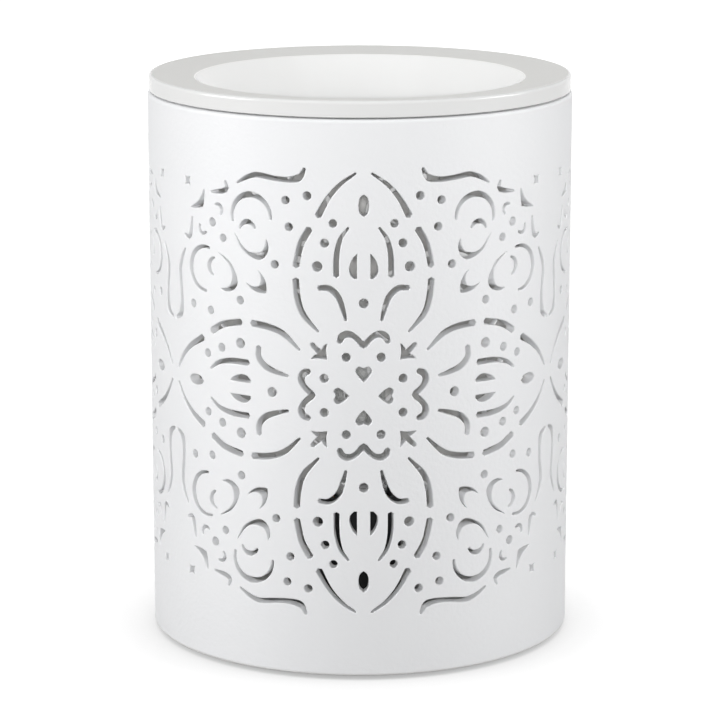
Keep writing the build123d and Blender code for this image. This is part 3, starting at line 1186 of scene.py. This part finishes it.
def makeLampCap():
    bottom, top = bottomAndTop("lamp_cap")
    radius, pitch = capForm["radius"], screwThread["pitch"]
    threadLow, threadHigh = bottom + capForm["threadLow"], top - capForm["collar"]
    heights = threadHeights(threadLow, threadHigh, pitch, screwThread["rowsPerTurn"])

    def lead(height):
        share = max(0, 1 - (height - threadLow) / pitch)
        return capForm["lead"] * share * share

    def outlineAt(angle):
        foot = [Vector((0, bottom)), Vector((capForm["foot"], bottom))]
        side = []
        for height in heights:
            dip = threadDip(height, angle, pitch, threadLow, threadHigh)
            side.append(Vector((radius - capForm["threadDepth"] * dip - lead(height), height)))
        head = [Vector((radius - inset, top - drop)) for inset, drop in capForm["headCurve"]]
        return foot + side + head + [Vector((0, top))]

    skin = Skin()
    skin.turn(outlineAt, allRound(capForm["columns"]), closed=False)
    cap = skin.build("lampCap", finishes["cap_aluminium"], capForm["crease"])
    settle(cap, "cap_aluminium", "lamp", "lamp_cap")


insulatorForm = {"footShare": 0.52, "footRound": 0.3, "shoulder": 0.3, "shoulderRound": 1.2, "columns": 64}
tipForm = {"round": 1.1, "columns": 48}


def makeLampEnd():
    form = insulatorForm
    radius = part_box("lamp_insulator")[1][0] / mm
    bottom, top = bottomAndTop("lamp_insulator")
    corners = [(0, bottom), (radius * form["footShare"], bottom, form["footRound"]),
               (radius, top - form["shoulder"], form["shoulderRound"]), (radius, top), (0, top)]
    insulator = turnedPiece("lampInsulator", corners, finishes["black_glass"], form["columns"])
    settle(insulator, "black_glass", "lamp", "lamp_insulator")

    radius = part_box("lamp_tip")[1][0] / mm
    bottom, top = bottomAndTop("lamp_tip")
    corners = [(0, bottom), (radius, bottom, tipForm["round"]), (radius, top), (0, top)]
    tip = turnedPiece("lampTip", corners, finishes["tin_solder"], tipForm["columns"])
    settle(tip, "tin_solder", "lamp_foot", "lamp_tip")


glassForm = {
    "radius": 6.4,
    "wall": 0.8,
    "neckDraw": 0.3,        # the glass draws in where the cap holds it
    "neckHeight": 1.5,
    "neckRound": 2.0,
    "shoulderHeight": 4.0,
    "shoulderRound": 3.0,
    "columns": 64,
    "roundSteps": 10,
}


def makeLampGlass():
    form = glassForm
    bottom, top = bottomAndTop("lamp_glass")
    radius, wall, draw = form["radius"], form["wall"], form["neckDraw"]
    bore = radius - wall
    neck, neckRound = bottom + form["neckHeight"], form["neckRound"]
    shoulder, shoulderRound = bottom + form["shoulderHeight"], form["shoulderRound"]
    corners = [
        (bore - draw, bottom), (radius - draw, bottom), (radius - draw, neck, neckRound),
        (radius, shoulder, shoulderRound), (radius, top, radius), (0, top), (0, top - wall),
        (bore, top - wall, bore), (bore, shoulder, shoulderRound), (bore - draw, neck, neckRound),
    ]
    glass = turnedPiece("lampGlass", corners, finishes["clear_glass"], form["columns"], form["roundSteps"])
    settle(glass, "clear_glass", "lamp", "lamp_glass")


stemForm = {
    "thickness": 2.4,
    "foot": 10.8,
    "top": 3.2,
    "flare": 1.5,           # how fast it widens towards its foot
    "topDraw": 0.35,
    "flatLeft": 0.01,       # of its round sides
    "steps": 12,
    "crease": 50,
}


def makeStem():
    form = stemForm
    bottom, top = bottomAndTop("lamp_stem")
    rings = []
    for step in range(form["steps"] + 1):
        share = step / form["steps"]
        draw = form["topDraw"] if share == 1 else 0
        width = form["top"] + (form["foot"] - form["top"]) * (1 - share) ** form["flare"] - draw
        thick = form["thickness"] - draw
        outline = roundedBox(width, thick, thick / 2 - form["flatLeft"])
        rings.append([(p.x, p.y, bottom + (top - bottom) * share) for p in outline])
    skin = Skin()
    skin.loft(rings)
    stem = skin.build("lampStem", finishes["clear_glass"], form["crease"])
    settle(stem, "clear_glass", "lamp", "lamp_stem")


wireForm = {
    "thickness": 0.64,
    "foot": 1.2,            # half the distance between the two
    "spread": 3.6,
    "bend": (0.3, 0.4),     # share of the spread, share of the height
    "footLift": 0.02,
    "topDrop": 0.1,
}


def makeWires():
    bottom, top = bottomAndTop("lamp_wires")
    bottom, top = bottom + wireForm["footLift"], top - wireForm["topDrop"]
    foot, spread = wireForm["foot"], wireForm["spread"]
    out, up = wireForm["bend"]
    bend = (foot * (1 - out) + spread * out, bottom * (1 - up) + top * up)
    line = [(foot, bottom), bend, (spread, top)]
    runs = [[(side * x, 0, z) for x, z in line] for side in (-1, 1)]
    wires = wirePiece("lampWires", runs, wireForm["thickness"], finishes["support_wire"])
    settle(wires, "support_wire", "lamp", "lamp_wires")


coilForm = {"turns": 26, "radius": 0.26, "wire": 0.14, "rise": 2.25, "stepsPerTurn": 10}


def makeFilament():
    bottom, _ = bottomAndTop("lamp_filament")
    radius = coilForm["radius"]
    foot = bottom + radius + coilForm["wire"]
    steps = coilForm["turns"] * coilForm["stepsPerTurn"]
    coil = []
    for step in range(steps + 1):
        along = 2 * step / steps - 1
        turn = 2 * math.pi * step / coilForm["stepsPerTurn"]
        arch = foot + coilForm["rise"] * (1 - along * along)
        coil.append((wireForm["spread"] * along, radius * math.cos(turn), arch + radius * math.sin(turn)))
    filament = wirePiece("lampFilament", [coil], coilForm["wire"], finishes["tungsten"])
    settle(filament, "tungsten", "lamp", "lamp_filament")


makeLampCap()
makeLampEnd()
makeLampGlass()
makeStem()
makeWires()
makeFilament()
print("lamp made")


# strap and contact keep the frame's own shape, with softened edges

edgeBreaks = {"clamp_strap": 0.25, "contact_tab": 0.1}
slots = {part["node"]: part["material_slot"] for part in frame["record"]["subparts"]}
for name, thing in frame["nodes"].items():
    thing.data.materials.clear()
    thing.data.materials.append(finishes[slots[name]].material)
for name, width in edgeBreaks.items():
    softened = frame["nodes"][name].modifiers.new("edges", "BEVEL")
    softened.width, softened.segments, softened.limit_method = width * mm, 2, "ANGLE"
print("frame pieces painted")


# floor, light and camera

lamps = {
    "keyLamp": {"place": (-1.25, -0.28, 0.50), "aim": 0.24, "size": 0.8,
                "power": 2.0, "spread": 60, "inGloss": True},
    "sideLamp": {"place": (1.25, -0.22, 0.50), "aim": 0.24, "size": 0.8,
                 "power": 1.65, "spread": 60, "inGloss": True},
    "overLamp": {"place": (0, 0.15, 1.25), "aim": 0.14, "size": 1.0,
                 "power": 2.0, "spread": 180, "inGloss": True},
    "backLamp": {"place": (0.25, 1.3, 0.55), "aim": 0.1, "size": 0.8,
                 "power": 6.0, "spread": 180, "inGloss": False},
    # small and beside the lens, so that it lights what shows through the openings
    "lensLamp": {"place": (-0.0128, -0.806, 0.250), "aim": 0.13, "size": 0.02,
                 "power": 0.47, "spread": 70, "inGloss": False},
}


def studioLamp(name, setting):
    lamp = bpy.data.lights.new(name, "AREA")
    lamp.size, lamp.energy, lamp.spread = setting["size"], setting["power"], math.radians(setting["spread"])
    thing = bpy.data.objects.new(name, lamp)
    place = Vector(setting["place"])
    thing.location = place
    thing.rotation_euler = (Vector((0, 0, setting["aim"])) - place).to_track_quat("-Z", "Y").to_euler()
    thing.visible_glossy = setting["inGloss"]
    bpy.context.collection.objects.link(thing)


floorLook = {
    "side": 4.0,
    "tone": 0.24,
    "toneRange": 0.01,
    "cloudsPerMetre": 8,
    "roughness": 0.9,
    "glow": 0.96,           # what the lens sees of it
    # painted contact shade: the floor's glow darkens where the object stands close
    "contactReach": 0.030,
    "contactDark": 0.6,
    "contactSamples": 8,
    "shadowDark": 0.74,     # soft shadow of the front light, behind the object
    "shadowWidth": 0.045,
    "shadowGrowth": 1.25,   # it widens towards its far end
    "shadowLean": 0.0166,
    "shadowEdge": (1.15, 0.3),      # shares of its width
    "shadowStart": (-0.02, 0.04),
    "shadowEnd": (1.0, 0.55),
}


def makeFloor():
    look = floorLook
    fixed = {"Roughness": look["roughness"], "Specular IOR Level": 0.0, "Emission Strength": 1.0}
    white = Finish("paleFloor", fixed)
    tones = [[look["tone"] + change] * 3 for change in (-look["toneRange"], look["toneRange"])]
    x, y, _ = white.axes()
    width = look["shadowWidth"] * (1 + look["shadowGrowth"] * y)
    aside = x.math("ABSOLUTE", x - look["shadowLean"] * y) / width
    along = white.ramp(y, *look["shadowStart"]) * white.ramp(y, *look["shadowEnd"])
    shadow = white.ramp(aside, *look["shadowEdge"]) * along
    # painted contact shade round the base, from ambient occlusion
    around = {"Distance": look["contactReach"]}
    openness = white.node("ShaderNodeAmbientOcclusion", {"samples": look["contactSamples"]}, around, out="AO")
    contact = 1 - look["contactDark"] * (1 - openness)
    glow = white.seenDirectly() * look["glow"] * contact * (1 - look["shadowDark"] * shadow)
    grey = {"Red": glow, "Green": glow, "Blue": glow}
    white.feed({
        "Base Color": white.blend(white.noise(look["cloudsPerMetre"], detail=2), *tones),
        "Emission Color": white.node("ShaderNodeCombineColor", sockets=grey),
    })
    side = look["side"]
    corners = [(-side, -side, 0), (side, -side, 0), (side, side, 0), (-side, side, 0)]
    mesh = bpy.data.meshes.new("floor")
    mesh.from_pydata(corners, [], [(0, 1, 2, 3)])
    mesh.materials.append(white.material)
    floor = bpy.data.objects.new("floor", mesh)
    bpy.context.collection.objects.link(floor)


worldLook = {"light": 0.20}     # the lens sees it white


def makeWorld():
    world = bpy.data.worlds.new("studio")
    bpy.context.scene.world = world
    world.use_nodes = True
    sky = Shading(world.node_tree)
    background = sky.tree.nodes["Background"]
    background.inputs["Color"].default_value = (1, 1, 1, 1)
    seen = sky.seenDirectly()
    plug(sky.tree, background.inputs["Strength"], seen + (1 - seen) * worldLook["light"])


for name, setting in lamps.items():
    studioLamp(name, setting)
makeFloor()
makeWorld()

shot = {"place": (-0.01327, -0.7999, 0.2477), "tiltDown": 12.70, "lens": 162.5, "sensor": 36.0}
camera = bpy.data.cameras.new("camera")
camera.lens, camera.sensor_width = shot["lens"], shot["sensor"]
eye = bpy.data.objects.new("camera", camera)
eye.location = shot["place"]
heading = math.atan2(-shot["place"][0], -shot["place"][1])
eye.rotation_euler = (math.radians(90 - shot["tiltDown"]), 0, -heading)
bpy.context.collection.objects.link(eye)
bpy.context.scene.camera = eye
bpy.context.scene.view_settings.view_transform = "Standard"
print("studio ready")
